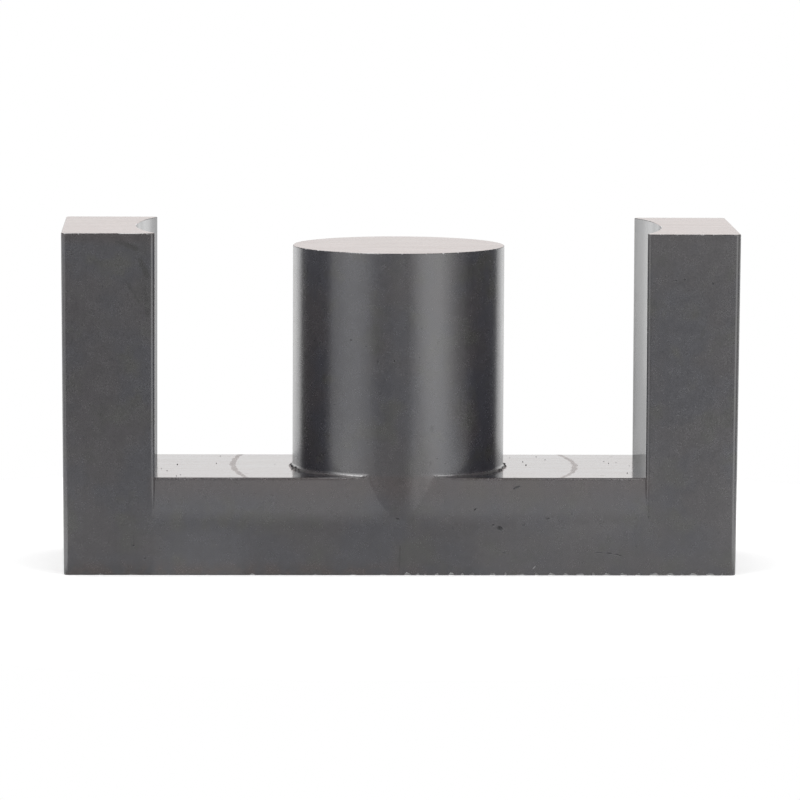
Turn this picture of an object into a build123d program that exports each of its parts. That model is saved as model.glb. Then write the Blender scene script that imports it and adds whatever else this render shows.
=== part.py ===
from build123d import *
import math
import os

# A ferrite E core of the round-post kind: a flat yoke, two outer legs with
# hollow inner faces and a round centre post, pressed and fired as one piece.
# The frame's origin is the middle of the back face. +Z runs up the post to the
# mating faces, +X along the length over both legs, +Y through the depth.

# Driving dimensions, in millimetres
core_length = 34.2          # over both legs, at the mating faces
core_height = 17.3          # back face to the ground mating faces of the legs
yoke_thickness = 4.93       # back face to the floor of the winding windows
leg_thickness = 3.7         # at the thinnest, half way through the depth
post_diameter = 10.8        # centre post
post_inset = 0.01           # the post lies this far inside the front and rear faces
air_gap = 1.0               # the post is ground this far below the mating faces
end_draft = 0.12            # the end faces draw in by this much towards the back face
relief_depth = 0.25         # the yoke's long upper edges lean back this far at the floor
relief_height = 2.17        # and would meet the face in a crease this far below the floor
relief_blend_radius = 10.0  # but a large round carries the lean over into the face
leg_edge_radius = 0.24      # upright inner edges of the legs
end_edge_radius = 0.25      # upright outer edges of the legs
back_edge_chamfer = 0.04    # rim of the back face
post_root_radius = 0.22     # hollow round where the post stands on the floor
tongue_draft = 0.01         # the tongue below the post narrows by this much at its tip

# Sizes that follow from the driving dimensions
core_depth = post_diameter + 2 * post_inset
half_depth = core_depth / 2
half_length = core_length / 2
post_radius = post_diameter / 2
post_height = core_height - air_gap
bore_radius = half_length - leg_thickness
relief_angle = math.atan2(relief_depth, relief_height)
relief_crease = yoke_thickness - relief_height
relief_blend_run = relief_blend_radius * math.tan(relief_angle / 2)
relief_bottom = relief_crease - relief_blend_run
relief_top = yoke_thickness + post_root_radius
relief_rise = relief_top - relief_bottom
cutter_half_depth = half_depth + 2 * post_root_radius + relief_depth


def lean_point(z):
    """Where the leaning edge of the yoke lies at a height, in the YZ plane."""
    return (half_depth - math.tan(relief_angle) * (z - relief_crease), z)


# The round on a leg's upright inner edge touches the front face and the hollow
# wall, so its centre lies one radius outside the circle of the hollow walls
edge_centre_y = half_depth - leg_edge_radius
edge_centre_x = math.sqrt((bore_radius + leg_edge_radius) ** 2 - edge_centre_y**2)
edge_angle = math.degrees(math.atan2(edge_centre_y, edge_centre_x))


# Plan of the space between the legs, drawn as one quarter and mirrored
with BuildSketch(Plane.XY) as window_plan:
    with BuildLine():
        CenterArc((0, 0), bore_radius, 0, edge_angle)
        CenterArc((edge_centre_x, edge_centre_y), leg_edge_radius, 90, 90 + edge_angle)
        Polyline(
            (edge_centre_x, half_depth),
            (edge_centre_x, cutter_half_depth),
            (0, cutter_half_depth),
        )
        mirror(about=Plane.YZ)
        mirror(about=Plane.XZ)
    make_face()


# What is taken off the yoke's long upper edges: a thin wedge in front and one
# behind, which fade out in the faces, end at the rounds of the legs and run out
# round the post
with BuildPart() as edge_relief:
    with BuildSketch(Plane.YZ) as wedges:
        with BuildLine():
            lean = Line(
                lean_point(relief_top),
                lean_point(relief_crease + relief_blend_run * math.cos(relief_angle)),
            )
            blend = TangentArc(lean @ 1, (half_depth, relief_bottom), tangent=lean % 1)
            Polyline(
                blend @ 1,
                (cutter_half_depth, relief_bottom),
                (cutter_half_depth, relief_top),
                lean @ 0,
            )
        make_face()
        mirror(about=Plane.YZ)
    extrude(amount=half_length, both=True)
    extrude(window_plan.sketch, amount=core_height, mode=Mode.INTERSECT)
    with Locations((0, 0, relief_bottom)):
        Cone(
            bottom_radius=post_radius - tongue_draft,
            top_radius=post_radius,
            height=relief_rise,
            align=(Align.CENTER, Align.CENTER, Align.MIN),
            mode=Mode.SUBTRACT,
        )


with BuildPart() as e_core:
    # Block as the die forms it, with its ends drawn in towards the back
    with BuildSketch(Plane.XZ) as side_view:
        with BuildLine():
            Polyline(
                (-half_length + end_draft, 0),
                (half_length - end_draft, 0),
                (half_length, core_height),
                (-half_length, core_height),
                close=True,
            )
        make_face()
    extrude(amount=half_depth, both=True)
    end_faces = e_core.faces().sort_by(Axis.X)
    end_edges = (end_faces[0].edges() + end_faces[-1].edges()).filter_by(Axis.Y, reverse=True)
    fillet(end_edges, radius=end_edge_radius)
    chamfer(e_core.faces().sort_by(Axis.Z)[0].edges(), length=back_edge_chamfer)

    # Winding windows, cut down to their floor
    with BuildSketch(Plane.XY.offset(yoke_thickness)):
        add(window_plan.sketch)
    extrude(amount=core_height, mode=Mode.SUBTRACT)

    # Post with a hollow round at its foot, turned from its half section
    with BuildSketch(Plane.XZ) as post_section:
        with BuildLine():
            foot_radius = post_radius + post_root_radius
            foot_arc = CenterArc(
                (foot_radius, yoke_thickness + post_root_radius), post_root_radius, 180, 90
            )
            Polyline(
                foot_arc @ 1,
                (foot_radius, relief_bottom),
                (0, relief_bottom),
                (0, post_height),
                (post_radius, post_height),
                foot_arc @ 0,
            )
        make_face()
    revolve(axis=Axis.Z)

    # Relief of the long edges, which leaves the post's foot standing as a tongue
    add(edge_relief.part, mode=Mode.SUBTRACT)

e_core.part.label = "e_core"

os.makedirs("parts", exist_ok=True)
export_step(e_core.part, "parts/e_core.step")
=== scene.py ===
import math
import random

import bmesh
import bpy
from mathutils import Matrix, Vector, noise


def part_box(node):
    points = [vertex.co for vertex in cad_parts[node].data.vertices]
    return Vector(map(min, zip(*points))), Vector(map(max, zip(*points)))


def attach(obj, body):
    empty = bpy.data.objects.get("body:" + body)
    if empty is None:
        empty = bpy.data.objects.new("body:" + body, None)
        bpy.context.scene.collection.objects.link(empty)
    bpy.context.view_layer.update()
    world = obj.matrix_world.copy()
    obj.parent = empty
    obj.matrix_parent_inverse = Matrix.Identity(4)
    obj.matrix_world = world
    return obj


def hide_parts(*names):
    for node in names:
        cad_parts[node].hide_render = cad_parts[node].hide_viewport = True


# A ferrite E core with a round centre post: one pressed, fired and ground piece.
# The origin is the middle of the back face that it stands on, +Z runs up the post,
# +X along the length over both legs and +Y through the depth, away from the camera.

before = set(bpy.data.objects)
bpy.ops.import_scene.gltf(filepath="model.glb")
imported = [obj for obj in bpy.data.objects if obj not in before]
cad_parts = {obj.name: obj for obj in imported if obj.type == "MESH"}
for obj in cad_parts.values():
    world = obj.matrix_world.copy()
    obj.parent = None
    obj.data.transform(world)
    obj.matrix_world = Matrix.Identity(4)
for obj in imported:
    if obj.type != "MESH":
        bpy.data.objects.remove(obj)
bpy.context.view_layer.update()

MM = 0.001

# Overall sizes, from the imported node
_, node_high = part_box("e_core")
HALF_LENGTH = node_high.x
HALF_DEPTH = node_high.y
HEIGHT = node_high.z

# The core's own sizes, as in the part's source
YOKE = 4.93 * MM
LEG_THICKNESS = 3.7 * MM
POST_RADIUS = 5.4 * MM
AIR_GAP = 1.0 * MM
END_DRAFT = 0.12 * MM
RELIEF_DEPTH = 0.25 * MM
RELIEF_HEIGHT = 2.17 * MM
RELIEF_BLEND_RADIUS = 10.0 * MM
LEG_EDGE_RADIUS = 0.24 * MM
END_EDGE_RADIUS = 0.25 * MM
BACK_EDGE_CHAMFER = 0.04 * MM
POST_ROOT_RADIUS = 0.22 * MM
TONGUE_DRAFT = 0.01 * MM

# Fine wear that the solids leave out
GROUND_EDGE = 0.03 * MM          # broken edge round the ground faces
FLOOR_EDGE_RADIUS = 0.16 * MM    # round on the front and rear edges of the window floor
FLOOR_EDGE_LEAST = 0.01 * MM     # what is left of that round beside the tongue
FLOOR_EDGE_FULL_FROM = 3.0 * MM  # from the middle, where the round has its full size
FLOOR_EDGE_LEAST_TO = 1.5 * MM   # and up to where it has its least
TONGUE_BLEND_RADIUS = 1.2 * MM   # hollow round between the tongue and the leaning edge beside it

# Sizes that follow
POST_TOP = HEIGHT - AIR_GAP
BORE_RADIUS = HALF_LENGTH - LEG_THICKNESS
RELIEF_ANGLE = math.atan2(RELIEF_DEPTH, RELIEF_HEIGHT)
RELIEF_BOTTOM = YOKE - RELIEF_HEIGHT - RELIEF_BLEND_RADIUS * math.tan(RELIEF_ANGLE / 2)
RELIEF_LEAN_FROM = RELIEF_BOTTOM + RELIEF_BLEND_RADIUS * math.sin(RELIEF_ANGLE)
RELIEF_TOP = YOKE + POST_ROOT_RADIUS
EDGE_CENTRE_Y = HALF_DEPTH - LEG_EDGE_RADIUS
EDGE_CENTRE_X = math.sqrt((BORE_RADIUS + LEG_EDGE_RADIUS) ** 2 - EDGE_CENTRE_Y**2)

# Meshing
OVERSHOOT = 1.0 * MM             # how far the cutting shapes reach past what they cut
WELD = 0.0002 * MM
POST_STEPS = 288
BORE_STEPS = 72
EDGE_STEPS = 12
BLEND_STEPS = 8
TONGUE_STEPS = 40
TONGUE_LEVELS = 14
TONGUE_CROWDING = 1.5            # above 1, those levels crowd towards the tip
FINE_LUMP = 0.08 * MM            # lumps larger than this get more faces
SINK = 0.002 * MM                # how far a cutting round starts below the face it runs into
SMOOTH_BELOW = math.radians(30)
FACE_WEIGHT = 50
FLAT_ABOVE = 0.99                # upward part of a level face's normal

FIRED, GROUND, FLOOR, CHIPPED, PITTED = range(5)


def mesh_object(name, points, faces):
    mesh = bpy.data.meshes.new(name)
    mesh.from_pydata(points, [], faces)
    made = bpy.data.objects.new(name, mesh)
    bpy.context.scene.collection.objects.link(made)
    return made


def skinned(name, loops):
    """A closed solid through a stack of outlines, each anticlockwise seen from the last one."""
    count = len(loops[0])
    faces = [tuple(reversed(range(count)))]
    for level in range(len(loops) - 1):
        base = level * count
        for i in range(count):
            j = (i + 1) % count
            faces.append((base + i, base + j, base + count + j, base + count + i))
    last = (len(loops) - 1) * count
    faces.append(tuple(range(last, last + count)))
    return mesh_object(name, [point for loop in loops for point in loop], faces)


def arc(centre_x, centre_y, radius, start, end, steps):
    """Points along an arc in a plane, both ends included, angles in radians."""
    turns = [start + (end - start) * i / steps for i in range(steps + 1)]
    return [(centre_x + radius * math.cos(a), centre_y + radius * math.sin(a)) for a in turns]


def at_height(outline, z):
    return [(x, y, z) for x, y in outline]


def turned(name, profile):
    """A solid of revolution about the post's axis, from (radius, height) pairs going up."""
    full_turn = 2 * math.pi * (POST_STEPS - 1) / POST_STEPS
    loops = [at_height(arc(0, 0, r, 0, full_turn, POST_STEPS - 1), z) for r, z in profile]
    return skinned(name, loops)


def weld(mesh):
    """Removes the slivers that cutting leaves."""
    work = bmesh.new()
    work.from_mesh(mesh)
    bmesh.ops.remove_doubles(work, verts=work.verts, dist=WELD)
    bmesh.ops.dissolve_degenerate(work, edges=work.edges, dist=WELD)
    work.to_mesh(mesh)
    work.free()


def bake_modifiers(target):
    """Puts the target's modifiers into its mesh."""
    graph = bpy.context.evaluated_depsgraph_get()
    shaped = target.evaluated_get(graph)
    result = bpy.data.meshes.new_from_object(shaped, preserve_all_data_layers=True, depsgraph=graph)
    target.modifiers.clear()
    old = target.data
    target.data = result
    bpy.data.meshes.remove(old)


def combine(target, tool, operation, overlapping=False):
    """Joins the tool to the target or cuts it out, and removes the tool, whose lumps may overlap."""
    step = target.modifiers.new(tool.name, "BOOLEAN")
    step.operation = operation
    step.solver = "EXACT"
    step.use_self = overlapping
    step.object = tool
    bake_modifiers(target)
    spent = tool.data
    bpy.data.objects.remove(tool)
    bpy.data.meshes.remove(spent)
    weld(target.data)


# The core's forms

def block_outline(inset, end_x):
    """The block's plan with rounded corners, drawn in by the inset."""
    radius = END_EDGE_RADIUS - inset
    corner_x = end_x - END_EDGE_RADIUS
    corner_y = HALF_DEPTH - END_EDGE_RADIUS
    outline = []
    for quarter, (side_x, side_y) in enumerate(((1, -1), (1, 1), (-1, 1), (-1, -1))):
        start = (quarter - 1) * math.pi / 2
        outline += arc(side_x * corner_x, side_y * corner_y, radius, start, start + math.pi / 2, EDGE_STEPS)
    return outline


def block():
    back_x = HALF_LENGTH - END_DRAFT
    return skinned("block", [
        at_height(block_outline(BACK_EDGE_CHAMFER, back_x), 0),
        at_height(block_outline(0, back_x), BACK_EDGE_CHAMFER),
        at_height(block_outline(0, HALF_LENGTH), HEIGHT - GROUND_EDGE),
        at_height(block_outline(GROUND_EDGE, HALF_LENGTH), HEIGHT),
    ])


def window_outline(grow):
    """The two winding windows and the space of the post, in plan, grown into the legs."""
    half_angle = math.atan2(EDGE_CENTRE_Y, EDGE_CENTRE_X)
    far_y = HALF_DEPTH + OVERSHOOT
    edge = LEG_EDGE_RADIUS - grow
    side = [(EDGE_CENTRE_X, -far_y)]
    side += arc(EDGE_CENTRE_X, -EDGE_CENTRE_Y, edge, 1.5 * math.pi, math.pi - half_angle, EDGE_STEPS)
    side += arc(0, 0, BORE_RADIUS + grow, -half_angle, half_angle, BORE_STEPS)[1:-1]
    side += arc(EDGE_CENTRE_X, EDGE_CENTRE_Y, edge, math.pi + half_angle, 0.5 * math.pi, EDGE_STEPS)
    side += [(EDGE_CENTRE_X, far_y)]
    return side + [(-x, -y) for x, y in side]


def window():
    return skinned("window", [
        at_height(window_outline(0), YOKE),
        at_height(window_outline(0), HEIGHT - GROUND_EDGE),
        at_height(window_outline(GROUND_EDGE), HEIGHT),
        at_height(window_outline(GROUND_EDGE), HEIGHT + OVERSHOOT),
    ])


def post():
    foot_radius = POST_RADIUS + POST_ROOT_RADIUS
    foot = arc(foot_radius, RELIEF_TOP, POST_ROOT_RADIUS, 1.5 * math.pi, math.pi, EDGE_STEPS)
    return turned("post", [
        (foot_radius, YOKE - POST_ROOT_RADIUS),
        *foot,
        (POST_RADIUS, POST_TOP - GROUND_EDGE),
        (POST_RADIUS - GROUND_EDGE, POST_TOP),
    ])


def relief_section(edge_radius):
    """Section of what is missing along a long upper edge of the yoke, as (y, z) pairs.

    A large round carries the front face over into a lean, and a small one the lean into the floor."""
    floor_end = HALF_DEPTH - RELIEF_DEPTH - edge_radius / math.tan(math.pi / 4 + RELIEF_ANGLE / 2)
    above_floor = floor_end - math.tan(RELIEF_ANGLE) * (RELIEF_TOP - YOKE)
    edge = arc(floor_end, YOKE - edge_radius, edge_radius, math.pi / 2, RELIEF_ANGLE, EDGE_STEPS)
    blend_y = HALF_DEPTH - RELIEF_BLEND_RADIUS
    blend = arc(blend_y, RELIEF_BOTTOM, RELIEF_BLEND_RADIUS, RELIEF_ANGLE, 0, BLEND_STEPS)
    outside = HALF_DEPTH + OVERSHOOT
    return [(outside, RELIEF_BOTTOM), (outside, RELIEF_TOP), (above_floor, RELIEF_TOP), *edge, *blend]


def relief_face(z):
    """How far the face below the window floor lies from the middle plane at a height."""
    if z < RELIEF_LEAN_FROM:
        drop = RELIEF_BLEND_RADIUS - math.sqrt(RELIEF_BLEND_RADIUS**2 - (z - RELIEF_BOTTOM) ** 2)
        return HALF_DEPTH - drop
    return HALF_DEPTH - RELIEF_DEPTH + math.tan(RELIEF_ANGLE) * (YOKE - z)


def tongue_outline(z):
    """Plan of the tongue at a height: the post's round and a hollow round on either side of it."""
    radius = POST_RADIUS + TONGUE_DRAFT * (z - RELIEF_TOP) / (RELIEF_TOP - RELIEF_BOTTOM)
    start_y = relief_face(z) - SINK
    round_y = start_y + TONGUE_BLEND_RADIUS
    round_x = math.sqrt((radius + TONGUE_BLEND_RADIUS) ** 2 - round_y**2)
    flank = math.atan2(round_x, round_y)
    down = 1.5 * math.pi
    right = arc(round_x, round_y, TONGUE_BLEND_RADIUS, down, down - flank, EDGE_STEPS)
    left = arc(-round_x, round_y, TONGUE_BLEND_RADIUS, down + flank, down, EDGE_STEPS)
    nose = arc(0, 0, radius, math.pi / 2 - flank, math.pi / 2 + flank, TONGUE_STEPS)
    return [(round_x, 0), *right, *nose[1:-1], *left, (-round_x, 0)]


def tongue():
    """What the relief spares: the post's foot, running out to a tip in the front face."""
    tip_drop = HALF_DEPTH - POST_RADIUS + TONGUE_DRAFT - SINK
    tip_z = RELIEF_BOTTOM + math.sqrt(2 * RELIEF_BLEND_RADIUS * tip_drop)
    rise = RELIEF_TOP - tip_z
    shares = [(i / TONGUE_LEVELS) ** TONGUE_CROWDING for i in range(TONGUE_LEVELS + 1)]
    levels = [tip_z + rise * share for share in shares]
    levels.append(RELIEF_TOP + OVERSHOOT)
    return skinned("tongue", [at_height(tongue_outline(z), z) for z in levels])


def edge_relief(turn):
    """What is missing along one long upper edge, short of the tongue below the post."""
    full, least = relief_section(FLOOR_EDGE_RADIUS), relief_section(FLOOR_EDGE_LEAST)
    stations = [
        (-HALF_LENGTH, full), (-FLOOR_EDGE_FULL_FROM, full), (-FLOOR_EDGE_LEAST_TO, least),
        (FLOOR_EDGE_LEAST_TO, least), (FLOOR_EDGE_FULL_FROM, full), (HALF_LENGTH, full),
    ]
    relief = skinned("relief", [[(x, y, z) for y, z in section] for x, section in stations])
    low, high = RELIEF_BOTTOM - OVERSHOOT, RELIEF_TOP + OVERSHOOT
    plan = skinned("relief_plan", [at_height(window_outline(0), z) for z in (low, high)])
    combine(relief, plan, "INTERSECT")
    combine(relief, tongue(), "DIFFERENCE")
    relief.data.transform(Matrix.Rotation(turn, 4, "Z"))
    return relief


# Chips, stuck grains and pits

# Rows of nicks: their length, bite and the gap between them, in millimetres
SPARSE_NICKS = ((0.15, 0.6), (0.02, 0.05), (0.5, 2.2))
DENSE_NICKS = ((0.15, 0.8), (0.04, 0.11), (0.02, 0.3))
END_NICKS = ((0.15, 0.8), (0.02, 0.06), (0.3, 1.5))
RIM_NICKS = ((0.08, 0.3), (0.012, 0.035), (0.3, 1.2))
POST_RIM_COUNT = 34
NICK_REACH = (2.4, 3.4)          # how far a nick's lump reaches, as a multiple of its bite
NICK_HALF_LENGTH = 0.45          # half length of that lump, as a share of the nick's length
RING_PLACES = (0.2, 0.8)         # where in its own stretch each mark of a ring lies
CHIP_SEED = 34

# The lumps that make all this wear: mean size as a share of the stated one, then the share and
# the pitch of their coarse and of their fine unevenness
LUMP_MEAN = 0.75
LUMP_COARSE = (0.3, 1.6)
LUMP_FINE = (0.15, 4.1)
LUMP_SEEDS = (0, 90)
LUMP_SEED_SKEW = 0.37

# Grains fired onto the window floor: place and radius, in millimetres
FLOOR_GRAINS = [
    (-12.1, -1.3, 0.02), (-11.8, -2.2, 0.022), (-11.3, 0.5, 0.03), (-11.3, -4.4, 0.026), (-11.1, -3.9, 0.022),
    (-9.3, 1.0, 0.026), (-9.1, 4.2, 0.02), (-6.3, 0.6, 0.02), (5.9, 3.6, 0.018), (6.5, 1.8, 0.03),
    (6.6, 0.4, 0.034), (7.3, 4.1, 0.022), (7.7, 2.7, 0.026), (10.7, 1.9, 0.022), (10.9, 1.2, 0.026),
    (11.3, 1.5, 0.022), (11.9, 0.1, 0.02), (11.6, -3.0, 0.028),
]
# Grains along the post's foot: from and to in degrees from the camera side, positive to the right, and count
FOOT_GRAINS = [(-112, -66, 13), (62, 112, 13)]
FOOT_GRAIN_RADIUS = (0.02 * MM, 0.06 * MM)
FOOT_GRAIN_PLACES = (0.3, 0.7)   # where in its own stretch each grain lies
# Their height and reach, as shares of the radius of the hollow round there
FOOT_GRAIN_CLIMB = (0.1, 0.6)
FOOT_GRAIN_REACH = 0.75
# Size of a grain, and how far the middle of one on the floor is lifted, as shares of its radius
GRAIN_LENGTH = (1.2, 1.8)
GRAIN_WIDTH = 1.2
GRAIN_HEIGHT = (1.1, 1.6)
GRAIN_LIFT = 0.3
GRAIN_SEED = 17

# Pits and short grooves in the front: x and z, half length and half width in millimetres, and
# the turn of the long side from level, in degrees
FRONT_PITS = [
    (5.05, 2.40, 0.20, 0.16, -40), (4.68, 2.57, 0.09, 0.06, -25), (-0.13, 2.86, 0.13, 0.08, 0),
    (-0.86, 2.62, 0.05, 0.05, 0), (13.79, 14.96, 0.14, 0.06, 5), (14.26, 15.01, 0.08, 0.07, 80),
    (15.68, 14.81, 0.10, 0.07, 90), (12.56, 2.98, 0.06, 0.05, 0), (5.87, 4.46, 0.30, 0.075, 25),
    (10.02, 1.17, 0.24, 0.045, 2), (10.56, 1.14, 0.20, 0.045, -8), (11.02, 1.05, 0.20, 0.035, -15),
    (3.77, 3.35, 0.11, 0.06, 40), (7.45, 2.90, 0.12, 0.06, 25), (6.24, 2.56, 0.09, 0.05, 20),
    (5.23, 1.18, 0.11, 0.035, 0), (2.65, 2.40, 0.06, 0.04, 30), (8.66, 3.09, 0.07, 0.04, 60),
    (-13.45, 1.49, 0.09, 0.07, 0), (-12.90, 0.85, 0.08, 0.06, 0), (-16.66, 16.40, 0.20, 0.03, 0),
    (-16.66, 16.23, 0.20, 0.03, 0), (-16.66, 13.26, 0.12, 0.03, 0), (-16.40, 15.69, 0.05, 0.05, 0),
    (-15.01, 14.62, 0.04, 0.04, 0), (-14.07, 13.18, 0.07, 0.05, 70), (-15.15, 12.73, 0.05, 0.04, 0),
]
# One short pale scratch near the back edge, as above
PALE_SCRATCH = (6.77, 0.41, 0.16, 0.035, 50)
# Pits in the post: degrees from the camera side, then as above
POST_PITS = [
    (-3.7, 10.88, 0.11, 0.06, 90), (-12.4, 10.82, 0.11, 0.06, 90), (-27.8, 11.88, 0.07, 0.06, 0),
    (-19.1, 11.58, 0.05, 0.05, 0),
]
SMALL_PITS = 26                  # scattered on each long face
SMALL_END_PITS = 12              # and on each end
SMALL_POST_PITS = 24             # and round the post
SMALL_PIT = (0.018, 0.042)       # their half length and half width, in millimetres
PIT_MARGIN = 1 * MM              # how far they stay from the edges
PIT_SEED = 11


def add_lump(work, place, along, outward, size, seed):
    """One uneven closed lump: size is its half length, half width and half depth."""
    sideways = outward.cross(along)
    offset = Vector((seed, LUMP_SEED_SKEW * seed, -seed))
    coarse, coarse_pitch = LUMP_COARSE
    fine, fine_pitch = LUMP_FINE
    steps = 2 if max(size) > FINE_LUMP else 1
    lump = bmesh.ops.create_icosphere(work, subdivisions=steps, radius=1)["verts"]
    for vertex in lump:
        way = vertex.co.copy()
        swell = LUMP_MEAN + coarse * noise.noise(coarse_pitch * way + offset)
        swell += fine * noise.noise(fine_pitch * way - offset)
        shaped = Vector((way.x * size[0], way.y * size[1], way.z * size[2])) * swell
        vertex.co = place + along * shaped.x + sideways * shaped.y + outward * shaped.z


def nick_at(work, draw, edge_point, along, outward, length, bites):
    """One nick, bitten into an edge by a lump whose middle lies outside it."""
    bite = draw.uniform(*bites) * MM
    reach = bite * draw.uniform(*NICK_REACH)
    place = edge_point + outward * (LUMP_MEAN * reach - bite)
    size = (NICK_HALF_LENGTH * length, reach, reach)
    add_lump(work, place, along, outward, size, draw.uniform(*LUMP_SEEDS))


def nick_row(work, draw, start, end, outward, style):
    """Nicks with gaps between them along a straight edge."""
    lengths, bites, gaps = style
    along = (end - start).normalized()
    reach = (end - start).length
    here = draw.uniform(*gaps) * MM
    while True:
        long = draw.uniform(*lengths) * MM
        if here + long > reach:
            return
        nick_at(work, draw, start + along * (here + long / 2), along, outward, long, bites)
        here += long + draw.uniform(*gaps) * MM


def nick_ring(work, draw, radius, z, count, style):
    """Nicks round the post's ground rim."""
    lengths, bites, _ = style
    for i in range(count):
        angle = 2 * math.pi * (i + draw.uniform(*RING_PLACES)) / count
        radial = Vector((math.cos(angle), math.sin(angle), 0))
        outward = (radial + Vector((0, 0, 1))).normalized()
        along = Vector((-radial.y, radial.x, 0))
        place = radial * radius + Vector((0, 0, z))
        nick_at(work, draw, place, along, outward, draw.uniform(*lengths) * MM, bites)


def lumps_object(name, work, materials, finish):
    """The lumps as an object whose faces have one finish."""
    mesh = bpy.data.meshes.new(name)
    work.to_mesh(mesh)
    work.free()
    for material in materials:
        mesh.materials.append(material)
    for face in mesh.polygons:
        face.material_index = finish
    made = bpy.data.objects.new(name, mesh)
    bpy.context.scene.collection.objects.link(made)
    return made


def back_edge_nicks(work, draw):
    """Chips round the back face: few on the left, a nearly closed row on the right."""
    back_x = HALF_LENGTH - END_DRAFT - BACK_EDGE_CHAMFER / 2
    back_y = HALF_DEPTH - BACK_EDGE_CHAMFER / 2
    back_z = BACK_EDGE_CHAMFER / 2
    end_x, end_y = back_x - END_EDGE_RADIUS, back_y - END_EDGE_RADIUS
    for side in (-1, 1):
        outward = Vector((0, side, -1)).normalized()
        left, middle, right = (Vector((x, side * back_y, back_z)) for x in (-end_x, 0, end_x))
        nick_row(work, draw, left, middle, outward, SPARSE_NICKS)
        nick_row(work, draw, middle, right, outward, DENSE_NICKS)
        outward = Vector((side, 0, -1)).normalized()
        front, rear = (Vector((side * back_x, y, back_z)) for y in (-end_y, end_y))
        nick_row(work, draw, front, rear, outward, END_NICKS)


def ground_rim_nicks(work, draw):
    """Fine nicks along the rims of the ground faces."""
    top = HEIGHT - GROUND_EDGE / 2
    rim_y = HALF_DEPTH - GROUND_EDGE / 2
    rim_x = HALF_LENGTH - GROUND_EDGE / 2
    end_x, end_y = rim_x - END_EDGE_RADIUS, rim_y - END_EDGE_RADIUS
    for side_x in (-1, 1):
        for side_y in (-1, 1):
            outward = Vector((0, side_y, 1)).normalized()
            outer, inner = (Vector((side_x * x, side_y * rim_y, top)) for x in (end_x, EDGE_CENTRE_X))
            nick_row(work, draw, outer, inner, outward, RIM_NICKS)
        outward = Vector((side_x, 0, 1)).normalized()
        front, rear = (Vector((side_x * rim_x, y, top)) for y in (-end_y, end_y))
        nick_row(work, draw, front, rear, outward, RIM_NICKS)
    rim_radius = POST_RADIUS - GROUND_EDGE / 2
    nick_ring(work, draw, rim_radius, POST_TOP - GROUND_EDGE / 2, POST_RIM_COUNT, RIM_NICKS)


def add_grain(work, draw, place, radius):
    turn = draw.uniform(0, math.pi)
    along = Vector((math.cos(turn), math.sin(turn), 0))
    length = radius * draw.uniform(*GRAIN_LENGTH)
    size = (length, radius * GRAIN_WIDTH, radius * draw.uniform(*GRAIN_HEIGHT))
    add_lump(work, place, along, Vector((0, 0, 1)), size, draw.uniform(*LUMP_SEEDS))


def stuck_grains(materials):
    """Grains on the window floor and along the post's foot."""
    draw = random.Random(GRAIN_SEED)
    work = bmesh.new()
    for x, y, radius in FLOOR_GRAINS:
        place = Vector((x * MM, y * MM, YOKE + GRAIN_LIFT * radius * MM))
        add_grain(work, draw, place, radius * MM)
    for start, end, count in FOOT_GRAINS:
        for i in range(count):
            degrees = start + (end - start) * (i + draw.uniform(*FOOT_GRAIN_PLACES)) / count
            turn = math.radians(degrees)
            climb = draw.uniform(*FOOT_GRAIN_CLIMB)
            reach = POST_RADIUS + POST_ROOT_RADIUS * (FOOT_GRAIN_REACH - climb)
            height = YOKE + climb * POST_ROOT_RADIUS
            place = Vector((reach * math.sin(turn), -reach * math.cos(turn), height))
            add_grain(work, draw, place, draw.uniform(*FOOT_GRAIN_RADIUS))
    return lumps_object("grains", work, materials, PITTED)


def add_pit(work, draw, place, outward, half_length, half_width, turn):
    """One pit centred on a face, its long side turned from level."""
    level = Vector((-outward.y, outward.x, 0)).normalized()
    along = Matrix.Rotation(math.radians(turn), 3, outward) @ level
    size = (half_length * MM, half_width * MM, half_width * MM)
    add_lump(work, place, along, outward, size, draw.uniform(*LUMP_SEEDS))


def add_small_pit(work, draw, place, outward):
    half_length, half_width = draw.uniform(*SMALL_PIT), draw.uniform(*SMALL_PIT)
    add_pit(work, draw, place, outward, half_length, half_width, draw.uniform(0, 180))


def on_post(degrees, z):
    """Place on the post's wall and the way out of it."""
    turn = math.radians(degrees)
    outward = Vector((math.sin(turn), -math.cos(turn), 0))
    return outward * POST_RADIUS + Vector((0, 0, z)), outward


def marked_pits(work, draw):
    """The pits that show in the front and the post."""
    front = Vector((0, -1, 0))
    for x, z, *shape in FRONT_PITS:
        between = abs(x) * MM < EDGE_CENTRE_X
        face_y = relief_face(z * MM) if between and z * MM > RELIEF_BOTTOM else HALF_DEPTH
        add_pit(work, draw, Vector((x * MM, -face_y, z * MM)), front, *shape)
    for degrees, z, *shape in POST_PITS:
        place, outward = on_post(degrees, z * MM)
        add_pit(work, draw, place, outward, *shape)


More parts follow.
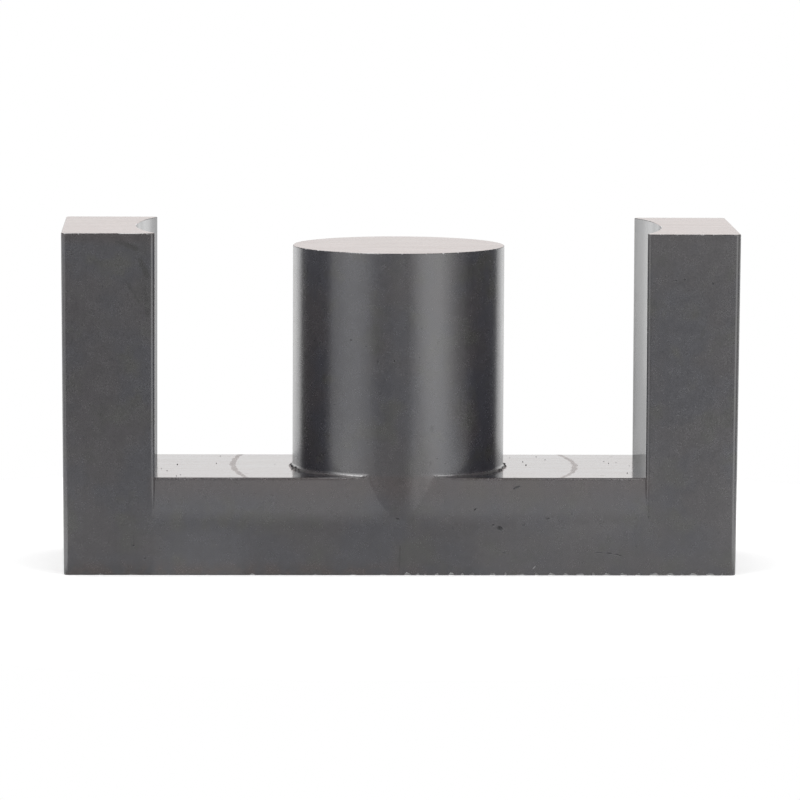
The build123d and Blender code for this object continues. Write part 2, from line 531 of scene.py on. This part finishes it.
def scattered_pits(work, draw):
    """Small pits over the long faces, the ends and the post."""
    for side in (-1, 1):
        outward = Vector((0, side, 0))
        for _ in range(SMALL_PITS):
            x = draw.uniform(PIT_MARGIN - HALF_LENGTH, HALF_LENGTH - PIT_MARGIN)
            on_leg = abs(x) > EDGE_CENTRE_X + PIT_MARGIN / 2
            z = draw.uniform(PIT_MARGIN, HEIGHT - PIT_MARGIN if on_leg else RELIEF_BOTTOM)
            add_small_pit(work, draw, Vector((x, side * HALF_DEPTH, z)), outward)
        outward = Vector((side, 0, 0))
        for _ in range(SMALL_END_PITS):
            z = draw.uniform(PIT_MARGIN, HEIGHT - PIT_MARGIN)
            x = HALF_LENGTH - END_DRAFT * (1 - z / HEIGHT)
            y = draw.uniform(PIT_MARGIN - HALF_DEPTH, HALF_DEPTH - PIT_MARGIN)
            add_small_pit(work, draw, Vector((side * x, y, z)), outward)
    for i in range(SMALL_POST_PITS):
        degrees = 360 * (i + draw.uniform(*RING_PLACES)) / SMALL_POST_PITS
        place, outward = on_post(degrees, draw.uniform(RELIEF_TOP + PIT_MARGIN, POST_TOP - PIT_MARGIN))
        add_small_pit(work, draw, place, outward)


def chip_cutter(materials):
    draw = random.Random(CHIP_SEED)
    work = bmesh.new()
    back_edge_nicks(work, draw)
    ground_rim_nicks(work, draw)
    x, z, *shape = PALE_SCRATCH
    add_pit(work, draw, Vector((x * MM, -HALF_DEPTH, z * MM)), Vector((0, -1, 0)), *shape)
    return lumps_object("chips", work, materials, CHIPPED)


def pit_cutter(materials):
    draw = random.Random(PIT_SEED)
    work = bmesh.new()
    marked_pits(work, draw)
    scattered_pits(work, draw)
    return lumps_object("pits", work, materials, PITTED)


def place_material_zones(mesh):
    """Ground faces, window floor and fired skin; broken faces keep what their lumps gave them."""
    for face in mesh.polygons:
        if face.material_index in (CHIPPED, PITTED):
            continue
        flat = face.normal.z > FLAT_ABOVE
        height = face.center.z
        if flat and height > POST_TOP - GROUND_EDGE:
            face.material_index = GROUND
        elif flat and abs(height - YOKE) < GROUND_EDGE:
            face.material_index = FLOOR
        elif height > YOKE and abs(face.center.xy.length - BORE_RADIUS) < GROUND_EDGE:
            face.material_index = FLOOR
        else:
            face.material_index = FIRED


def tidy_mesh(target):
    """Keeps flat faces flat and curved ones smooth."""
    target.data.shade_smooth()
    target.data.set_sharp_from_angle(angle=SMOOTH_BELOW)
    even = target.modifiers.new("even_normals", "WEIGHTED_NORMAL")
    even.mode = "FACE_AREA"
    even.weight = FACE_WEIGHT
    even.keep_sharp = True
    bake_modifiers(target)


# Nodes

# Share of its half width within which a mark is full
SPOT_CORE = 0.4
STROKE_CORE = 0.3
RUB_CORE = 0.6


def add(tree, kind, inputs=None, **settings):
    """A node with its settings, and its inputs either linked or set."""
    node = tree.nodes.new(kind)
    for name, value in settings.items():
        setattr(node, name, value)
    for key, value in (inputs or {}).items():
        if isinstance(value, bpy.types.NodeSocket):
            tree.links.new(value, node.inputs[key])
        else:
            node.inputs[key].default_value = value
    return node


def maths(tree, operation, first, second=0.0, clamp=False):
    inputs = {0: first, 1: second}
    return add(tree, "ShaderNodeMath", inputs, operation=operation, use_clamp=clamp).outputs[0]


def product(tree, *factors):
    result = factors[0]
    for factor in factors[1:]:
        result = maths(tree, "MULTIPLY", result, factor)
    return result


def total(tree, *terms):
    result = terms[0]
    for term in terms[1:]:
        result = maths(tree, "ADD", result, term)
    return result


def vector_maths(tree, operation, first, second):
    return add(tree, "ShaderNodeVectorMath", {0: first, 1: second}, operation=operation)


def mixed(tree, factor, first, second, blend="MIX"):
    node = add(tree, "ShaderNodeMix", {"Factor": factor}, data_type="RGBA", blend_type=blend)
    for key, value in ((6, first), (7, second)):
        if isinstance(value, bpy.types.NodeSocket):
            tree.links.new(value, node.inputs[key])
        else:
            node.inputs[key].default_value = (*value, 1)
    return node.outputs[2]


def shaded(tree, colour, shade):
    """The colour made lighter or darker by a share."""
    level = maths(tree, "ADD", shade, 1.0)
    grey = add(tree, "ShaderNodeCombineColor", {i: level for i in range(3)}).outputs[0]
    return mixed(tree, 1.0, colour, grey, "MULTIPLY")


def ramped(tree, value, low, high, to_low=0.0, to_high=1.0):
    """The value carried smoothly from one range to another, held at the ends."""
    inputs = {0: value, 1: low, 2: high, 3: to_low, 4: to_high}
    return add(tree, "ShaderNodeMapRange", inputs, interpolation_type="SMOOTHSTEP").outputs[0]


def swing(tree, value, amount, spread=0.25):
    """A share that follows a noise both ways, by the amount where it is a spread off its middle."""
    return ramped(tree, value, 0.5 - spread, 0.5 + spread, -amount, amount)


def stretched(tree, place, scale):
    return vector_maths(tree, "MULTIPLY", place, scale).outputs[0]


def cloudy(tree, place, scale, detail=3.0, roughness=0.55):
    inputs = {"Vector": place, "Scale": scale, "Detail": detail, "Roughness": roughness}
    return add(tree, "ShaderNodeTexNoise", inputs).outputs[0]


def spots(tree, place, scale, radius, share):
    """Scattered spots: cells per millimetre, radius as a share of a cell, share of cells with a spot."""
    cells = add(tree, "ShaderNodeTexVoronoi", {"Vector": place, "Scale": scale})
    chance = add(tree, "ShaderNodeSeparateColor", {0: cells.outputs["Color"]}).outputs[0]
    chosen = maths(tree, "LESS_THAN", chance, share)
    return product(tree, ramped(tree, cells.outputs["Distance"], radius, SPOT_CORE * radius), chosen)


def stroke(tree, place, start, end, width):
    """1 along a straight mark between two places on the core, fading out over its width."""
    run = Vector(end) - Vector(start)
    from_start = vector_maths(tree, "SUBTRACT", place, start).outputs[0]
    share = vector_maths(tree, "DOT_PRODUCT", from_start, run / run.length_squared).outputs["Value"]
    held = maths(tree, "ADD", share, 0.0, clamp=True)
    along = add(tree, "ShaderNodeVectorMath", {0: run, "Scale": held}, operation="SCALE").outputs[0]
    away = vector_maths(tree, "DISTANCE", from_start, along).outputs["Value"]
    return ramped(tree, away, width, STROKE_CORE * width)


def in_millimetres(tree):
    """The place on the core, in millimetres from the middle of its back face."""
    place = add(tree, "ShaderNodeTexCoord").outputs["Object"]
    return stretched(tree, place, (1 / MM, 1 / MM, 1 / MM))


def new_material(name):
    material = bpy.data.materials.new(name)
    material.use_nodes = True
    material.node_tree.nodes.clear()
    return material, material.node_tree


# Finishes of the ferrite

FERRITE_IOR = 2.3
BLUISH = (0.034, 0.034, 0.043)
BROWNISH = (0.040, 0.036, 0.040)
OLIVE = (0.039, 0.038, 0.036)
RUSTY = (0.050, 0.033, 0.031)
# Soot of dark marks, and painted shade at the bottom edge and inside pits
SOOT_AND_SHADE = (0.012, 0.011, 0.011)
WARM_GROUND = (0.106, 0.094, 0.089)
DULL_GROUND = (0.088, 0.081, 0.078)
# Pale grey of the painted sheen on the window walls
SHEEN_GREY = (0.15, 0.15, 0.153)
# Bare grains of broken edges, painted paler as a reflection of the white floor
FRACTURE_AND_GLEAM = (0.17, 0.17, 0.175)
PALE_FRACTURE_AND_GLEAM = (0.34, 0.335, 0.335)

# Height of each finish's bumps
FIRED_RELIEF = 0.004 * MM
GROUND_RELIEF = 0.001 * MM
FLOOR_RELIEF = 0.002 * MM
CHIPPED_RELIEF = 0.006 * MM
PITTED_RELIEF = 0.004 * MM

# Bands of the skin, in millimetres: where each starts to fade in and where it is full
LEFT_BAND = (5.0, -5.0)          # along the length
BETWEEN_LEGS = (12.9, 12.3)      # from the middle plane
RIM_BAND = (HEIGHT / MM - 0.7, HEIGHT / MM - 0.05)
BACK_BAND = (0.9, 0.1)
# Painted shade along the bottom edge, where the core meets the floor
CONTACT_SHADE_BAND = (0.12, 0.03)
UPPER_YOKE_BAND = (3.4, 4.6)
BELOW_FLOOR = (RELIEF_TOP / MM, YOKE / MM)
# Painted sheen on the window walls, paler towards the top
WALL_SHEEN_BAND = (6.0, 16.0)

# How strongly each mark shows
RIGHT_SHARE = 0.2                # what the right half has of the left half's rust and painted contact shade
LARGE_SPOT = 0.5
SMALL_SPOT = 0.6
FOOT_CRUMB = 0.8
# Strength of the painted shade along the bottom edge
CONTACT_SHADE = 0.8
RIM_RUST = 0.6
YOKE_RUST = 0.5
RIM_SHADE = -0.25
BACK_SHADE = -0.2
DARKEST = 0.9
# Strength of the painted sheen on the window walls
WALL_SHEEN = 0.7
FLOOR_STAIN = 0.5
FLOOR_SOOT = 0.5

# Faint rubs and hairlines on the front: start and end as (x, z) in millimetres, half width, and strength
FRONT_MARKS = [
    ((-0.01, 1.52), (-0.04, 0.43), 0.06, 0.8),
    ((-14.28, 16.91), (-13.75, 16.70), 0.16, 0.6),
    ((-13.75, 16.70), (-13.33, 16.56), 0.20, 0.9),
    ((-13.10, 15.93), (-12.78, 15.20), 0.22, 0.8),
    ((-12.90, 14.60), (-12.75, 13.20), 0.18, 0.6),
    ((-13.83, 14.90), (-13.41, 14.25), 0.09, 0.5),
    ((-13.41, 14.25), (-13.18, 13.80), 0.09, 0.5),
    ((-13.00, 16.90), (-12.80, 14.00), 0.60, 0.25),
    ((-13.45, 2.00), (-13.45, 1.50), 0.05, 0.7),
]


def finish_ferrite(tree, colour, roughness, height, relief):
    bump = add(tree, "ShaderNodeBump", {"Height": height, "Distance": relief, "Strength": 1.0})
    shader = add(tree, "ShaderNodeBsdfPrincipled", {
        "Base Color": colour, "Roughness": roughness, "IOR": FERRITE_IOR, "Normal": bump.outputs[0],
    })
    add(tree, "ShaderNodeOutputMaterial", {"Surface": shader.outputs[0]})


def front_marks(tree, place):
    """The rubs and hairlines of the front."""
    result = 0.0
    front = -HALF_DEPTH / MM
    for (start_x, start_z), (end_x, end_z), width, strength in FRONT_MARKS:
        mark = stroke(tree, place, (start_x, front, start_z), (end_x, front, end_z), width)
        result = maths(tree, "MAXIMUM", result, product(tree, mark, strength))
    worn = ramped(tree, cloudy(tree, place, scale=6.0), 0.2, 0.4, to_low=0.4)
    return product(tree, result, worn)


def blotched(tree, place):
    """Soft clouds of blue, brown and olive grey."""
    brown = ramped(tree, cloudy(tree, place, scale=0.3, detail=4.0), 0.4, 0.6)
    olive = ramped(tree, cloudy(tree, place, scale=0.55), 0.5, 0.68)
    return mixed(tree, olive, mixed(tree, brown, BLUISH, BROWNISH), OLIVE)


def foot_round(tree, place, height):
    """1 on the hollow round at the post's foot, with its bounds as shares of that round's radius."""
    radial = vector_maths(tree, "LENGTH", stretched(tree, place, (1, 1, 0)), (0, 0, 0)).outputs["Value"]

    def off_wall(share):
        return (POST_RADIUS + share * POST_ROOT_RADIUS) / MM

    def off_floor(share):
        return (YOKE + share * POST_ROOT_RADIUS) / MM

    return product(
        tree,
        ramped(tree, radial, off_wall(1.3), off_wall(1.0)),
        ramped(tree, height, off_floor(1.4), off_floor(1.0)),
        ramped(tree, radial, off_wall(0.1), off_wall(0.3)),
        ramped(tree, height, off_floor(-0.2), off_floor(0.0)),
    )


def fired_ferrite():
    """Skin as fired: soft blotches, fine grain, dark spots and specks, rust along the edges, and painted
    shade along the bottom edge.
    """
    material, tree = new_material("ferrite_fired")
    place = in_millimetres(tree)
    parts = add(tree, "ShaderNodeSeparateXYZ", {0: place}).outputs
    side, height = parts[0], parts[2]
    foot = foot_round(tree, place, height)
    leftness = ramped(tree, side, *LEFT_BAND, to_low=RIGHT_SHARE)
    rim = product(tree, ramped(tree, height, *RIM_BAND), leftness)
    back = product(tree, ramped(tree, height, *BACK_BAND), leftness)
    # Painted shade along the bottom edge where it meets the floor, mostly on the left
    contact_shade = product(tree, ramped(tree, height, *CONTACT_SHADE_BAND), leftness)
    upper_yoke = product(
        tree,
        ramped(tree, height, *UPPER_YOKE_BAND),
        ramped(tree, height, *BELOW_FLOOR),
        ramped(tree, maths(tree, "ABSOLUTE", side), *BETWEEN_LEGS),
    )

    patches = cloudy(tree, place, scale=1.3)
    mottle = cloudy(tree, place, scale=4.0, detail=2.0)
    grain = cloudy(tree, place, scale=10.0, roughness=0.65)
    drag = cloudy(tree, stretched(tree, place, (5.0, 5.0, 0.3)), scale=1.0, detail=2.0)
    large = spots(tree, stretched(tree, place, (1.0, 1.0, 0.7)), scale=0.7, radius=0.13, share=0.35)
    small = spots(tree, place, scale=2.3, radius=0.12, share=0.4)
    crumbs = product(tree, foot, ramped(tree, cloudy(tree, place, scale=7.0, detail=2.0), 0.42, 0.58))
    marks = total(tree, product(tree, large, LARGE_SPOT), product(tree, small, SMALL_SPOT))
    dull = total(tree, marks, product(tree, crumbs, FOOT_CRUMB))
    dark = total(tree, dull, front_marks(tree, place), product(tree, contact_shade, CONTACT_SHADE))

    colour = blotched(tree, place)
    colour = mixed(tree, product(tree, rim, RIM_RUST), colour, RUSTY)
    colour = mixed(tree, product(tree, upper_yoke, YOKE_RUST), colour, RUSTY)
    colour = mixed(tree, product(tree, back, ramped(tree, patches, 0.35, 0.6)), colour, RUSTY)
    shade = total(
        tree,
        swing(tree, patches, 0.04, spread=0.2),
        swing(tree, mottle, 0.09),
        swing(tree, grain, 0.13),
        swing(tree, drag, 0.06),
        product(tree, rim, RIM_SHADE),
        product(tree, back, BACK_SHADE),
    )
    colour = shaded(tree, colour, shade)
    colour = mixed(tree, maths(tree, "MINIMUM", dark, DARKEST), colour, SOOT_AND_SHADE)
    rough = total(
        tree,
        ramped(tree, patches, 0.3, 0.7, to_low=0.235, to_high=0.26),
        swing(tree, grain, 0.03),
        product(tree, dull, 0.2),
        product(tree, foot, 0.05),
    )
    bumps = total(tree, product(tree, grain, 0.6), product(tree, marks, -1.2))
    finish_ferrite(tree, colour, rough, bumps, FIRED_RELIEF)
    return material


def ground_ferrite():
    """Mating faces, ground along the length: paler, a little warm, with fine straight lines."""
    material, tree = new_material("ferrite_ground")
    place = in_millimetres(tree)
    lines = cloudy(tree, stretched(tree, place, (0.25, 16.0, 1.0)), scale=1.0)
    clouds = cloudy(tree, place, scale=0.5)
    grain = cloudy(tree, place, scale=12.0, detail=2.0)
    shade = total(tree, swing(tree, lines, 0.12), swing(tree, grain, 0.1, spread=0.3))
    colour = mixed(tree, ramped(tree, clouds, 0.3, 0.7), WARM_GROUND, DULL_GROUND)
    colour = shaded(tree, colour, shade)
    rough = ramped(tree, lines, 0.2, 0.8, to_low=0.15, to_high=0.23)
    finish_ferrite(tree, colour, rough, lines, GROUND_RELIEF)
    return material


# Curved rub marks across the window floor: centre and radius in millimetres, and half width
FLOOR_RUBS = [((15.0, 0.6), 23.45, 0.17), ((-8.0, 0.5), 17.1, 0.15)]


def floor_rubs(tree, place):
    """Ragged curved bands where the floor is dulled."""
    waves = cloudy(tree, stretched(tree, place, (1.0, 0.5, 1.0)), scale=2.2)
    ragged = swing(tree, waves, 0.07, spread=0.3)
    side = add(tree, "ShaderNodeSeparateXYZ", {0: place}).outputs[0]
    flat = stretched(tree, place, (1, 1, 0))
    result = 0.0
    for (centre_x, centre_y), radius, width in FLOOR_RUBS:
        reach = vector_maths(tree, "DISTANCE", flat, (centre_x, centre_y, 0)).outputs["Value"]
        away = maths(tree, "ABSOLUTE", total(tree, reach, -radius, ragged))
        far_side = maths(tree, "LESS_THAN", product(tree, side, math.copysign(1, centre_x)), 0.0)
        band = product(tree, ramped(tree, away, width, RUB_CORE * width), far_side)
        result = maths(tree, "MAXIMUM", result, band)
    return result


def floor_ferrite():
    """Floor and walls of the winding windows, as pressed: smooth, with faint lines, two dulled bands and a
    painted sheen that makes the walls paler towards the top.
    """
    material, tree = new_material("ferrite_floor")
    place = in_millimetres(tree)
    height = add(tree, "ShaderNodeSeparateXYZ", {0: place}).outputs[2]
    grain = cloudy(tree, place, scale=8.0, roughness=0.6)
    lines = cloudy(tree, stretched(tree, place, (0.2, 2.5, 1.0)), scale=1.0, detail=2.0)
    rubs = floor_rubs(tree, place)
    stains = spots(tree, stretched(tree, place, (1.0, 0.4, 1.0)), scale=0.9, radius=0.16, share=0.25)
    dull = total(tree, rubs, product(tree, stains, FLOOR_STAIN))
    # Painted sheen: the window walls paler towards the top
    colour = mixed(tree, ramped(tree, height, *WALL_SHEEN_BAND, to_high=WALL_SHEEN), blotched(tree, place), SHEEN_GREY)
    colour = mixed(tree, product(tree, dull, FLOOR_SOOT), colour, SOOT_AND_SHADE)
    rough = total(
        tree,
        ramped(tree, grain, 0.2, 0.8, to_low=0.09, to_high=0.15),
        ramped(tree, lines, 0.3, 0.7, to_low=-0.02, to_high=0.03),
        product(tree, dull, 0.14),
    )
    finish_ferrite(tree, colour, rough, grain, FLOOR_RELIEF)
    return material


def chipped_ferrite():
    """Broken edges: bare grains, rougher and paler than the skin, and painted paler still as a reflection of
    the white floor.
    """
    material, tree = new_material("ferrite_chipped")
    place = in_millimetres(tree)
    grain = cloudy(tree, place, scale=22.0, detail=4.0, roughness=0.7)
    colour = mixed(tree, ramped(tree, grain, 0.3, 0.7), FRACTURE_AND_GLEAM, PALE_FRACTURE_AND_GLEAM)
    rough = ramped(tree, grain, 0.2, 0.8, to_low=0.35, to_high=0.6)
    finish_ferrite(tree, colour, rough, grain, CHIPPED_RELIEF)
    return material


def pitted_ferrite():
    """Insides of pits, painted dark for the shade in them, and stuck grains: dull and sooty."""
    material, tree = new_material("ferrite_pitted")
    place = in_millimetres(tree)
    grain = cloudy(tree, place, scale=25.0, roughness=0.7)
    colour = mixed(tree, ramped(tree, grain, 0.3, 0.7), SOOT_AND_SHADE, BLUISH)
    rough = ramped(tree, grain, 0.2, 0.8, to_low=0.6, to_high=0.85)
    finish_ferrite(tree, colour, rough, grain, PITTED_RELIEF)
    return material


def build_core():
    core = block()
    combine(core, window(), "DIFFERENCE")
    combine(core, post(), "UNION")
    for turn in (0, math.pi):
        combine(core, edge_relief(turn), "DIFFERENCE")
    materials = [fired_ferrite(), ground_ferrite(), floor_ferrite(), chipped_ferrite(), pitted_ferrite()]
    for material in materials:
        core.data.materials.append(material)
    combine(core, stuck_grains(materials), "UNION", overlapping=True)
    combine(core, chip_cutter(materials), "DIFFERENCE", overlapping=True)
    combine(core, pit_cutter(materials), "DIFFERENCE", overlapping=True)
    place_material_zones(core.data)
    tidy_mesh(core)
    core.name = "core_body"
    return core


# Stage, light and camera

def seen_directly(tree):
    """1 for rays that see the background: straight, in a reflection or through glass."""
    path = add(tree, "ShaderNodeLightPath")
    seen = maths(tree, "ADD", path.outputs["Is Camera Ray"], path.outputs["Is Glossy Ray"])
    return maths(tree, "ADD", seen, path.outputs["Is Transmission Ray"], clamp=True)


FLOOR_CARD_RADIUS = 40 * MM
FLOOR_CARD_STEPS = 96
FLOOR_PAPER = (0.9, 0.9, 0.9, 1)
FLOOR_GLOW = 0.3


def pale_floor():
    """A round white card under the core, a little lit by itself so that it meets the white background."""
    full_turn = 2 * math.pi * (FLOOR_CARD_STEPS - 1) / FLOOR_CARD_STEPS
    outline = arc(0, 0, FLOOR_CARD_RADIUS, 0, full_turn, FLOOR_CARD_STEPS - 1)
    card = mesh_object("floor", at_height(outline, 0), [tuple(range(FLOOR_CARD_STEPS))])
    material, tree = new_material("floor_card")
    paper = add(tree, "ShaderNodeBsdfDiffuse", {"Color": FLOOR_PAPER})
    glow = add(tree, "ShaderNodeEmission", {"Strength": product(tree, seen_directly(tree), FLOOR_GLOW)})
    both = add(tree, "ShaderNodeAddShader", {0: paper.outputs[0], 1: glow.outputs[0]})
    add(tree, "ShaderNodeOutputMaterial", {"Surface": both.outputs[0]})
    card.data.materials.append(material)


# What the core's gloss reflects.
# Walls: from and to in degrees from the camera side, positive to the right, low and high in
# millimetres, and level
WALL_LEVELS = [
    (-86, -78, -60, 120, 0.3), (-78, -62, -60, 14, 0.5), (-62, -40, -60, 14, 0.63), (-40, -30, -60, 14, 0.45),
    (-78, -30, 14, 50, 1.0), (-78, -30, 50, 120, 1.6), (-30, -4, -60, 4, 0.04), (-4, 0, -60, 4, 0.4),
    (0, 3, -60, 4, 0.06), (3, 7, -60, 4, 0.3), (7, 12, -60, 4, 0.04), (-30, -13, 4, 14, 0.7),
    (-13, -4, 4, 14, 0.2), (-4, 7, 4, 14, 0.45), (7, 12, 4, 14, 0.2), (-30, 12, 14, 45, 0.77),
    (-30, 12, 45, 70, 0.12), (-30, 12, 70, 120, 0.5), (12, 18, -60, 14, 0.7), (18, 24, -60, 14, 0.95),
    (24, 48, -60, 14, 1.1), (48, 56, -60, 14, 0.85), (56, 64, -60, 14, 0.55), (64, 76, -60, 120, 0.28),
    (76, 86, -60, 120, 0.07),
    (12, 30, 14, 120, 0.8), (30, 52, 14, 120, 1.3), (52, 64, 14, 120, 0.5), (124, 132, -60, 120, 0.08),
    (132, 146, -60, 60, 1.25), (146, 158, -60, -13, 1.25), (146, 158, -13, 60, 1.7), (132, 158, 60, 120, 0.3),
    (158, 202, -60, 34, 1.25), (158, 202, 70, 120, 0.6), (202, 214, -60, -13, 1.3),
    (202, 214, -13, 60, 1.7), (214, 226, -60, 60, 1.45), (202, 226, 60, 120, 0.3), (226, 234, -60, 120, 0.08),
]
# The same for the warmer light that the ground faces catch
WARM_WALL_LEVELS = [(158, 202, 34, 70, 1.29)]
WARM_LIGHT = (1.0, 0.89, 0.861)
NEUTRAL_LIGHT = (1, 1, 1)
# Table in front: left and right, near and far ahead of the core in millimetres, and level
TABLE_LEVELS = [
    (-26, -18.5, 15, 43, 0.8), (-18.5, -12.5, 0.05, 24, 0.36), (-18.5, -12.5, 24, 43, 0.26),
    (-18.5, -12.5, 43, 80, 0.17), (-20.5, -12.5, 80, 195, 0.06), (-12.5, -8, 0.05, 24, 0.53),
    (-12.5, -9, 24, 43, 0.45), (-12.5, -2.5, 43, 80, 0.37), (-12.5, -1.5, 80, 195, 0.42),
    (-8, 4, 0.05, 24, 0.38), (-9, 4, 24, 43, 0.18), (-2.5, 4.5, 43, 80, 0.16), (-1.5, 7, 80, 195, 0.07),
    (4, 13, 0.05, 24, 0.47), (4, 9, 24, 43, 0.28), (9, 13.5, 24, 43, 1.8), (4.5, 15.5, 43, 80, 0.26),
    (7, 20.5, 80, 195, 0.22), (13, 20, 0.05, 24, 0.48), (13.5, 20, 24, 43, 0.19), (15.5, 24, 43, 80, 0.12),
    (20.5, 29, 80, 195, 0.04), (20, 27, 15, 43, 1.2),
]
# Ceiling: left and right, front and rear in millimetres, and level
CEILING_LEVELS = [
    (-200, -110, -200, -140, 0.3), (-200, -110, -140, 12, 2.2), (-200, -110, 12, 200, 0.05),
    (-110, -24, -200, -140, 0.3), (-110, -24, -140, -60, 1.4), (-110, -24, -60, -6, 5.0),
    (-110, -24, -6, 10, 3.5), (-110, -24, 10, 200, 0.05), (-24, 26, -200, 12, 0.04), (-24, 26, 12, 200, 0.5),
    (26, 110, -200, -110, 0.3), (26, 110, -110, -12, 3.0), (26, 110, -12, 200, 0.08),
    (110, 200, -200, 200, 0.15),
]
WALL_DISTANCE = 200 * MM
WALL_STEP = 2                    # degrees
CEILING_HEIGHT = 120 * MM
TABLE_LIFT = 0.01 * MM
LEVEL = "level"                  # the cards' attribute that holds their level


def wall_cards(rows):
    for start, end, low_z, high_z, level in rows:
        for turn in range(start, end, WALL_STEP):
            left, right = (math.radians(min(a, end)) for a in (turn, turn + WALL_STEP))
            foot = [(WALL_DISTANCE * math.sin(a), -WALL_DISTANCE * math.cos(a)) for a in (left, right)]
            low, high = at_height(foot, low_z * MM), at_height(foot, high_z * MM)
            yield [low[0], low[1], high[1], high[0]], level


def flat_card(left, right, front, rear, z):
    return at_height([(left, front), (right, front), (right, rear), (left, rear)], z)


def table_cards():
    for left, right, near, far, level in TABLE_LEVELS:
        front, rear = (-HALF_DEPTH - ahead * MM for ahead in (far, near))
        yield flat_card(left * MM, right * MM, front, rear, TABLE_LIFT), level


def ceiling_cards():
    for left, right, front, rear, level in CEILING_LEVELS:
        yield flat_card(left * MM, right * MM, front * MM, rear * MM, CEILING_HEIGHT), level


def glowing_card(name, light):
    """A card that glows in one colour, as strongly as its level says."""
    material, tree = new_material(name)
    level = add(tree, "ShaderNodeAttribute", attribute_name=LEVEL).outputs["Fac"]
    glow = add(tree, "ShaderNodeEmission", {"Color": (*light, 1), "Strength": level})
    add(tree, "ShaderNodeOutputMaterial", {"Surface": glow.outputs[0]})
    return material


def studio_cards():
    """Grey and white cards round the core that only its gloss sees."""
    neutral = [*wall_cards(WALL_LEVELS), *table_cards(), *ceiling_cards()]
    warm = [*wall_cards(WARM_WALL_LEVELS)]
    sheets = neutral + warm
    points = [corner for corners, _ in sheets for corner in corners]
    faces = [tuple(range(4 * i, 4 * i + 4)) for i in range(len(sheets))]
    cards = mesh_object("studio_cards", points, faces)
    levels = cards.data.attributes.new(LEVEL, "FLOAT", "FACE")
    levels.data.foreach_set("value", [level for _, level in sheets])
    cards.data.materials.append(glowing_card("studio_cards", NEUTRAL_LIGHT))
    cards.data.materials.append(glowing_card("studio_warm_cards", WARM_LIGHT))
    cards.data.polygons.foreach_set("material_index", [0] * len(neutral) + [1] * len(warm))
    cards.visible_camera = False
    cards.visible_diffuse = False
    cards.visible_transmission = False
    cards.visible_shadow = False


WORLD_FILL = 0.7                 # what lights the core
WORLD_BACKDROP = 1.0             # what is seen behind it
WHITE = (1, 1, 1, 1)


def white_world():
    """White all round, seen at full strength and lighting the core with less."""
    world = bpy.data.worlds.new("studio")
    bpy.context.scene.world = world
    world.use_nodes = True
    tree = world.node_tree
    tree.nodes.clear()
    fill = add(tree, "ShaderNodeBackground", {"Color": WHITE, "Strength": WORLD_FILL}).outputs[0]
    backdrop = add(tree, "ShaderNodeBackground", {"Color": WHITE, "Strength": WORLD_BACKDROP}).outputs[0]
    both = add(tree, "ShaderNodeMixShader", {0: seen_directly(tree), 1: fill, 2: backdrop})
    add(tree, "ShaderNodeOutputWorld", {"Surface": both.outputs[0]})


# Lamps: name, place and width in millimetres, and watts
LAMPS = [
    ("lamp_right", (260, -300, 260), 240, 0.47),
    ("lamp_left", (-300, -240, 220), 240, 0.33),
    ("lamp_top", (0, 50, 450), 350, 0.5),
]


def lamps():
    """Soft round lamps aimed at the middle of the core."""
    for name, place, width, power in LAMPS:
        data = bpy.data.lights.new(name, "AREA")
        data.shape = "DISK"
        data.size = width * MM
        data.energy = power
        lamp = bpy.data.objects.new(name, data)
        bpy.context.scene.collection.objects.link(lamp)
        lamp.location = Vector(place) * MM
        aim = Vector((0, 0, HEIGHT / 2)) - lamp.location
        lamp.rotation_mode = "QUATERNION"
        lamp.rotation_quaternion = aim.to_track_quat("-Z", "Y")
        lamp.visible_camera = False


# Camera: its place, its turns in radians from a level look along +Y, and its lens
CAMERA_PLACE = Vector((-8.50, -316.14, 42.49)) * MM
CAMERA_YAW = 0.0272              # to the right
CAMERA_PITCH = 0.1076            # downward
CAMERA_ROLL = 0.0044
CAMERA_NEAR = 10 * MM
CAMERA_FAR = 10000 * MM
IMAGE_WIDTH = 800
FOCAL_PIXELS = 6208.9
SENSOR = 36.0                    # width in millimetres, as the lens


def camera():
    data = bpy.data.cameras.new("camera")
    data.sensor_width = SENSOR
    data.lens = FOCAL_PIXELS / IMAGE_WIDTH * SENSOR
    data.clip_start = CAMERA_NEAR
    data.clip_end = CAMERA_FAR
    made = bpy.data.objects.new("camera", data)
    bpy.context.scene.collection.objects.link(made)
    ahead = Vector((
        math.sin(CAMERA_YAW) * math.cos(CAMERA_PITCH),
        math.cos(CAMERA_YAW) * math.cos(CAMERA_PITCH),
        -math.sin(CAMERA_PITCH),
    ))
    level_right = Vector((math.cos(CAMERA_YAW), -math.sin(CAMERA_YAW), 0))
    level_up = level_right.cross(ahead)
    right = math.cos(CAMERA_ROLL) * level_right + math.sin(CAMERA_ROLL) * level_up
    up = math.cos(CAMERA_ROLL) * level_up - math.sin(CAMERA_ROLL) * level_right
    turn = Matrix((right, up, -ahead)).transposed()
    made.matrix_world = Matrix.Translation(CAMERA_PLACE) @ turn.to_4x4()
    bpy.context.scene.camera = made


core = build_core()
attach(core, "root")
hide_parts("e_core")
pale_floor()
studio_cards()
white_world()
lamps()
camera()
bpy.context.scene.view_settings.view_transform = "Standard"
